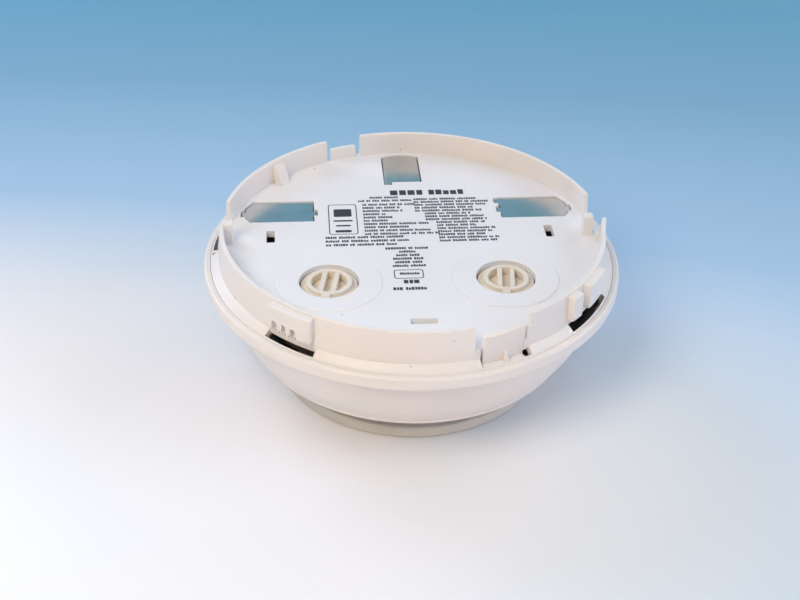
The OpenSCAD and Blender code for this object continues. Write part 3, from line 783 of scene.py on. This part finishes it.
def front_cover():
    """The shell, the nose with the inner wall of the inlet, and the ribs across the inlet."""
    several("front_shell", [lathe_parts(cover_shell())], WHITE, "white_plastic", replaces=("front_cover",))
    nose = rounded([
        (0.01, 0, 0), (nose_r, 0, 0.9), (nose_r, nose_top_z, 0.6), (cove_r, nose_top_z, 0.5),
        (cove_r, 4.8, 0.15), (cove_r - 1.6, 4.8, 0.15), (cove_r - 1.6, 2.4, 0.2), (0.01, 2.4, 0),
    ], 5)
    # The nose cap takes the darker copy of the white plastic: painted shade from the bowl over it
    several("nose_cap", [lathe_parts(nose)], SHADE_PAINTED_WHITE, "white_plastic")
    count, opening = 24, 5.4
    half = math.pi * cove_r / count - opening / 2
    rib = box_outline(-half, half, 4.4, edge_z + 0.7, 0.3)
    ribs = [block(rib, -1.6, 0, 0.3, 0.3, wrapped(cove_r, at=(i + 0.5) * 360 / count)) for i in range(count)]
    several("inlet_ribs", ribs, WHITE, "white_plastic")


def insect_screen():
    """Wire screen round the chamber: upright and level wires that cross each other."""
    low, high = node_box("insect_screen")
    radius, rows, columns = high.x - 0.25, 18, 150
    parts = []
    for i in range(rows):
        z = low.z + (i + 0.5) * (high.z - low.z) / rows
        loop = rounded([(radius - 0.1, z - 0.1, 0.1), (radius + 0.1, z - 0.1, 0.1),
                        (radius + 0.1, z + 0.1, 0.1), (radius - 0.1, z + 0.1, 0.1)], 1)
        parts.append(lathe_parts(loop, columns))
    wire = box_outline(-0.1, 0.1, low.z, high.z, 0.08)
    for i in range(columns):
        parts.append(block(wire, -0.1, 0.1, 0.08, 0.08, wrapped(radius, at=360 * i / columns), steps=1))
    several("screen_weave", parts, MESH_STEEL, "screen_mesh", replaces=("insect_screen",))


# ---------- Terminals ----------
def terminals():
    """The three contact pads, with their legs through the plate and the bends that join them."""
    low_z = node_box("terminal_right")[0].z
    pad_low, leg_top, tab_low, tab_top = (pad_top_z - d for d in (0.6, 0.02, 0.55, 0.05))
    for side, name in ((1, "right"), (-1, "left")):
        parts = [block(side_window(-PAD_GAP, side), pad_low, pad_top_z, 0.12)]
        # Each leg: its middle, where its bend ends under the pad, and its foot
        for x, bend_x, foot in ((23.9, 24.9, low_z), (42.5, 41.7, plate_low_z - 0.3)):
            x0, x1 = sorted(((x - 0.3) * side, (x + 0.3) * side))
            parts.append(block(box_outline(x0, x1, *LEG_Y, 0.1), foot, leg_top, 0.15))
            x0, x1 = sorted(((x - 0.2) * side, bend_x * side))
            parts.append(block(box_outline(x0, x1, *LEG_Y, 0.1), tab_low, tab_top, 0.1))
        if side > 0:
            ear = box_outline(23.4, 24.9, 18.4, 20.6, 0.5)
            parts.append(block(ear, pad_top_z - 0.5, pad_top_z - 0.04, 0.1))
        several(f"contact_{name}", parts, CONTACT, "contact_metal", replaces=(f"terminal_{name}",))
    rear = block(rear_window(-PAD_GAP, slot=False), pad_low, pad_top_z, 0.12)
    leg = block(box_outline(-4.9, -3.3, 29.2, 29.8, 0.1), low_z, leg_top, 0.15)
    tab = block(box_outline(-4.9, -3.3, 29.4, 31, 0.1), tab_low, tab_top, 0.1)
    several("contact_rear", [rear, leg, tab], CONTACT, "contact_metal", replaces=("terminal_rear",))


# ---------- Address dials ----------
def dials():
    """Each dial: collar, ring with two bars across it, pointer, stem, and the floor inside the ring."""
    top_z = node_box("address_dial_left")[1].z
    stem_low = node_box("address_dial_left")[0].z
    collar_z = top_z - 1.2
    for (node, body, x, y), turn in zip(dial_centres(), (10, 7)):
        low_z = collar_z - 2.3
        body_outline = rounded([
            (0.01, low_z, 0), (6.85, low_z, 0.2), (6.85, collar_z, 0.25), (5.55, collar_z + 0.05, 0.2),
            (5.5, top_z, 0.25), (4.3, top_z, 0.25), (4.25, low_z + 0.6, 0.2), (0.01, low_z + 0.6, 0),
        ], 4)
        place, bars = turned(upright, x, y, -turn), []
        for s in (-1.5, 1.5):
            reach = math.sqrt(4.4 ** 2 - s * s)
            bar = box_outline(x + s - 0.6, x + s + 0.6, y - reach, y + reach, 0.12)
            bars.append(block(bar, low_z + 0.4, top_z, 0.15, 0.05, place))
        pointer = box_outline(x - 1.1, x + 1.1, y - 6.8, y - 5.2, 0.15)
        bars.append(block(pointer, collar_z - 0.3, top_z - 0.05, 0.2, 0.05, place))
        stem_top = low_z + 0.1
        stem = rounded([(0.01, stem_low, 0), (3, stem_low, 0.2), (3, stem_top, 0), (0.01, stem_top, 0)], 3)
        several(f"{body}_knob", [lathe_parts(body_outline, 96, x, y), lathe_parts(stem, 48, x, y), *bars],
                CREAM, "cream_plastic", body=body, replaces=(node,))
        # The pocket's floor takes the lighter cream: painted light in the shaded pocket
        slab(f"{body}_pocket", [circle(x, y, 4.2, 48)], low_z + 0.5, low_z + 1.4, 0.05, upright, LIT_POCKET_CREAM,
             "cream_plastic", body=body)


# ---------- Generic print ----------
# Each paragraph: the left edge or the middle of its rows, the height of its first row, and the pitch, size
# and lengths of its rows from the top down
SMALL, MEDIUM = 0.95, 1.0
PARAGRAPHS = (
    {"left": -3.9, "top": 23.2, "size": 2.5, "bold": 0.35, "lengths": (20.6,)},
    {"left": 2.0, "top": 20.4, "size": SMALL, "pitch": 1.49, "lengths": (17, 20, 19, 16, 18)},
    {"left": 4.4, "top": 12.95, "size": SMALL, "pitch": 1.49, "lengths": (12, 16, 16)},
    {"left": 7.0, "top": 8.48, "size": SMALL, "pitch": 1.49, "lengths": (13, 11, 15.5, 15, 12, 15.5, 15.5)},
    {"left": -9.5, "top": 21.6, "size": SMALL, "lengths": (8,)},
    {"left": -12.6, "top": 19.98, "size": SMALL, "lengths": (15,)},
    {"left": -11.6, "top": 17.96, "size": SMALL, "pitch": 1.62,
     "lengths": (14, 10, 10.5, 6, 8, 6.5, 17, 12, 17.5, 19.5)},
    {"left": -21.6, "top": 1.9, "size": MEDIUM, "pitch": 1.75, "lengths": (20, 21, 18)},
    {"middle": -1.6, "top": -3.7, "size": MEDIUM, "pitch": 1.6, "lengths": (11, 4.5, 6, 8, 7, 8.5)},
    {"middle": -1.8, "top": -15.2, "size": MEDIUM, "lengths": (5,)},
    {"middle": -1.6, "top": -19.0, "size": 1.5, "bold": 0.4, "lengths": (5,)},
    {"middle": -2.2, "top": -21.8, "size": 1.2, "lengths": (9,)},
)
# Plain frames and the bars inside the larger one, each with its left, right, low and high edge
FRAMES = ((-20.6, -13.2, 3.9, 18.8), (-5.6, 1.6, -16.9, -13.0))
FRAME_LINE = 0.25
BARS = (
    (-19.2, -14.6, 12.6, 16.4), (-19.4, -14.4, 10.2, 10.9), (-18.8, -15.0, 7.8, 8.5),
    (-19.0, -14.9, 4.9, 6.0),
)


def print_row(rng, y, length, size, bold, left, middle):
    """A row of small marks grouped like words, from a left edge or centred. It says nothing."""
    marks, x = [], 0.0
    while x < length:
        for _ in range(rng.randint(2, 8)):
            w = size * rng.uniform(0.50, 0.74) * (1 + bold)
            if x + w > length:
                break
            h = size * rng.choice((1.0, 1.0, 0.82))
            marks.append((x, w * 0.80, h))
            x += w
        x += size * 0.5
    start = left if middle is None else middle - (marks[-1][0] + marks[-1][1]) / 2
    return [(start + x, start + x + w, y, y + h) for x, w, h in marks]


def paragraph(rng, lengths, top, size, pitch=0.0, bold=0.0, left=0.0, middle=None):
    """Rows of marks one under the other."""
    rows = []
    for i, length in enumerate(lengths):
        rows += print_row(rng, top - i * pitch, length, size, bold, left, middle)
    return rows


def label_print():
    """Rows of meaningless marks and two plain frames, where such a head carries its rating text."""
    rng = random.Random(7)
    shapes = []
    for lines in PARAGRAPHS:
        for x0, x1, y0, y1 in paragraph(rng, **lines):
            shapes.append([[Vector(p) for p in ((x0, y0), (x1, y0), (x1, y1), (x0, y1))]])
    line = FRAME_LINE
    for x0, x1, y0, y1 in FRAMES:
        shapes.append([box_outline(x0, x1, y0, y1, 0.8),
                       box_outline(x0 + line, x1 - line, y0 + line, y1 - line, 0.6)])
    shapes += [[box_outline(*bar, 0.3)] for bar in BARS]
    low, high, soft = plate_z - 0.01, plate_z + 0.015, 0.004
    parts = [slab_parts(shape, low, high, soft, soft, upright, None, 1) for shape in shapes]
    several("rating_print", parts, INK, "black_plastic")


# ---------- Inside ----------
def inner_parts():
    """Gives each CAD node that stays its own finish."""
    finishes = {
        GREY: ("address_switch_left", "address_switch_right"),
        BOARD: ("circuit_board",),
        STEEL: ("board_screws",),
        BLACK: ("microcontroller", "signal_chip", "chamber_base", "chamber_cap"),
        CAN: ("line_capacitors",),
        CERAMIC: ("surface_parts",),
        CLEAR: ("reed_switch", "light_pipe_left", "light_pipe_right"),
        TINTED: ("status_led_left", "status_led_right", "thermistor_left", "thermistor_right",
                 "infrared_emitter", "light_receiver"),
    }
    for material, nodes in finishes.items():
        for node in nodes:
            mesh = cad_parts[node].data
            mesh.materials.clear()
            mesh.materials.append(material)


# ---------- Stage, light and camera ----------
def floor():
    """A large pale floor that is warm white near the head and pale blue far away."""
    size = 6.0
    corners = [(-size, -size, 0), (size, -size, 0), (size, size, 0), (-size, size, 0)]
    mesh = bpy.data.meshes.new("floor")
    mesh.from_pydata(corners, [], [(0, 1, 2, 3)])
    material, tree, shader = new_material("pale_floor")
    # The pale area is an ellipse in front of the head, long in X and a little left of the middle
    where = tree.nodes.new("ShaderNodeTexCoord")
    spot = tree.nodes.new("ShaderNodeMapping")
    spot.inputs["Location"].default_value = (0.384, 0.21, 0)
    spot.inputs["Scale"].default_value = (1, 3.57, 1)
    away = tree.nodes.new("ShaderNodeVectorMath")
    away.operation = "LENGTH"
    tree.links.new(where.outputs["Object"], spot.inputs["Vector"])
    tree.links.new(spot.outputs["Vector"], away.inputs[0])
    far = tree.nodes.new("ShaderNodeMapRange")
    far.inputs["From Min"].default_value = 0.25
    far.inputs["From Max"].default_value = 1.25
    tree.links.new(away.outputs["Value"], far.inputs["Value"])
    colours = tree.nodes.new("ShaderNodeValToRGB")
    stops = ((0.04, (0.95, 0.95, 0.95)), (0.12, (0.86, 0.84, 0.86)), (0.20, (0.74, 0.78, 0.83)),
             (0.35, (0.40, 0.57, 0.74)), (0.64, (0.23, 0.43, 0.58)), (0.92, (0.16, 0.39, 0.54)))
    elements = colours.color_ramp.elements
    elements[0].color = (*stops[0][1], 1)
    elements[-1].color = (*stops[-1][1], 1)
    for position, colour in stops[1:]:
        elements.new(position).color = (*colour, 1)
    tree.links.new(far.outputs["Result"], colours.inputs["Fac"])
    tree.links.new(colours.outputs["Color"], shader.inputs["Base Color"])
    shader.inputs["Roughness"].default_value = 0.9
    shader.inputs["Specular IOR Level"].default_value = 0.1
    mesh.materials.append(material)
    piece = bpy.data.objects.new("floor", mesh)
    bpy.context.scene.collection.objects.link(piece)


def area_light(name, place, aim, size, watts, colour, beam=180):
    """A round lamp aimed at a point. A beam under 180 degrees keeps its light off the floor beside it."""
    light = bpy.data.lights.new(name, "AREA")
    light.shape = "DISK"
    light.size = size
    light.spread = math.radians(beam)
    light.energy = watts
    light.color = colour
    lamp = bpy.data.objects.new(name, light)
    lamp.location = place
    lamp.rotation_euler = (Vector(aim) - Vector(place)).to_track_quat("-Z", "Y").to_euler()
    bpy.context.scene.collection.objects.link(lamp)


def lights():
    """A key high at the front left, pale sides and back, and two low warm beams from the front."""
    middle = (0, 0, 0.03)
    area_light("key_front_left", (-0.20, -0.26, 0.36), middle, 0.22, 1.05, (1.0, 0.88, 0.70))
    area_light("right_side", (0.80, -0.20, 0.45), middle, 0.60, 3.0, (0.48, 0.71, 1.0))
    area_light("back_left", (-0.55, 0.55, 0.45), middle, 0.50, 3.2, (0.62, 0.71, 1.0))
    area_light("back_right", (0.65, 0.45, 0.45), middle, 0.50, 1.7, (1.0, 0.73, 0.58))
    area_light("low_front", (-0.10, -0.90, 0.05), middle, 0.08, 0.0103, (1.0, 0.48, 0.22), 30)
    area_light("low_front_right", (0.55, -0.70, 0.05), middle, 0.08, 0.027, (1.0, 0.72, 0.64), 30)


def tent():
    """The surroundings: pale overhead, and near the horizon blue behind and warm grey in front."""
    world = bpy.data.worlds.new("tent")
    world.use_nodes = True
    tree = world.node_tree
    where = tree.nodes.new("ShaderNodeTexCoord")
    split = tree.nodes.new("ShaderNodeSeparateXYZ")
    tree.links.new(where.outputs["Generated"], split.inputs["Vector"])
    roof = (0.50, 0.52, 0.55)
    back = ramp(tree, split.outputs["Z"], 0.66, 0.82, (0.19, 0.40, 0.52), roof)
    front = ramp(tree, split.outputs["Z"], 0.66, 0.82, (0.34, 0.31, 0.29), roof)
    turn = tree.nodes.new("ShaderNodeMapRange")
    turn.interpolation_type = "SMOOTHSTEP"
    turn.inputs["From Min"].default_value = 0.0
    turn.inputs["From Max"].default_value = 0.45
    tree.links.new(split.outputs["Y"], turn.inputs["Value"])
    mix = tree.nodes.new("ShaderNodeMix")
    mix.data_type = "RGBA"
    tree.links.new(turn.outputs["Result"], mix.inputs["Factor"])
    tree.links.new(front, mix.inputs["A"])
    tree.links.new(back, mix.inputs["B"])
    tree.links.new(mix.outputs["Result"], tree.nodes["Background"].inputs["Color"])
    tree.nodes["Background"].inputs["Strength"].default_value = 1.0
    bpy.context.scene.world = world
    bpy.context.scene.view_settings.view_transform = "Standard"


def camera():
    """The photograph's viewing angle: just left of the front, looking down."""
    azimuth, elevation, roll = math.radians(-5), math.radians(34.37), math.radians(1.38)
    distance, target = 0.3319, Vector((-3.22, -6.16, 21.52)) * MM
    forward = Vector((-math.sin(azimuth) * math.cos(elevation), math.cos(azimuth) * math.cos(elevation),
                      -math.sin(elevation)))
    level = forward.cross(Vector((0, 0, 1))).normalized()
    up = level.cross(forward)
    right = level * math.cos(roll) + up * math.sin(roll)
    up = up * math.cos(roll) - level * math.sin(roll)
    data = bpy.data.cameras.new("camera")
    data.sensor_width = 36
    data.lens = 59.13
    data.clip_start = 0.01
    eye = bpy.data.objects.new("camera", data)
    turn = Matrix((right, up, -forward)).transposed().to_4x4()
    eye.matrix_world = Matrix.Translation(target - forward * distance) @ turn
    bpy.context.scene.collection.objects.link(eye)
    bpy.context.scene.camera = eye


camera()
floor()
lights()
tent()
terminal_plate()
dial_surrounds()
skirt_walls()
lugs()
rim_band()
tongues()
gap_parts()
inner_hook()
front_cover()
insect_screen()
terminals()
dials()
label_print()
inner_parts()
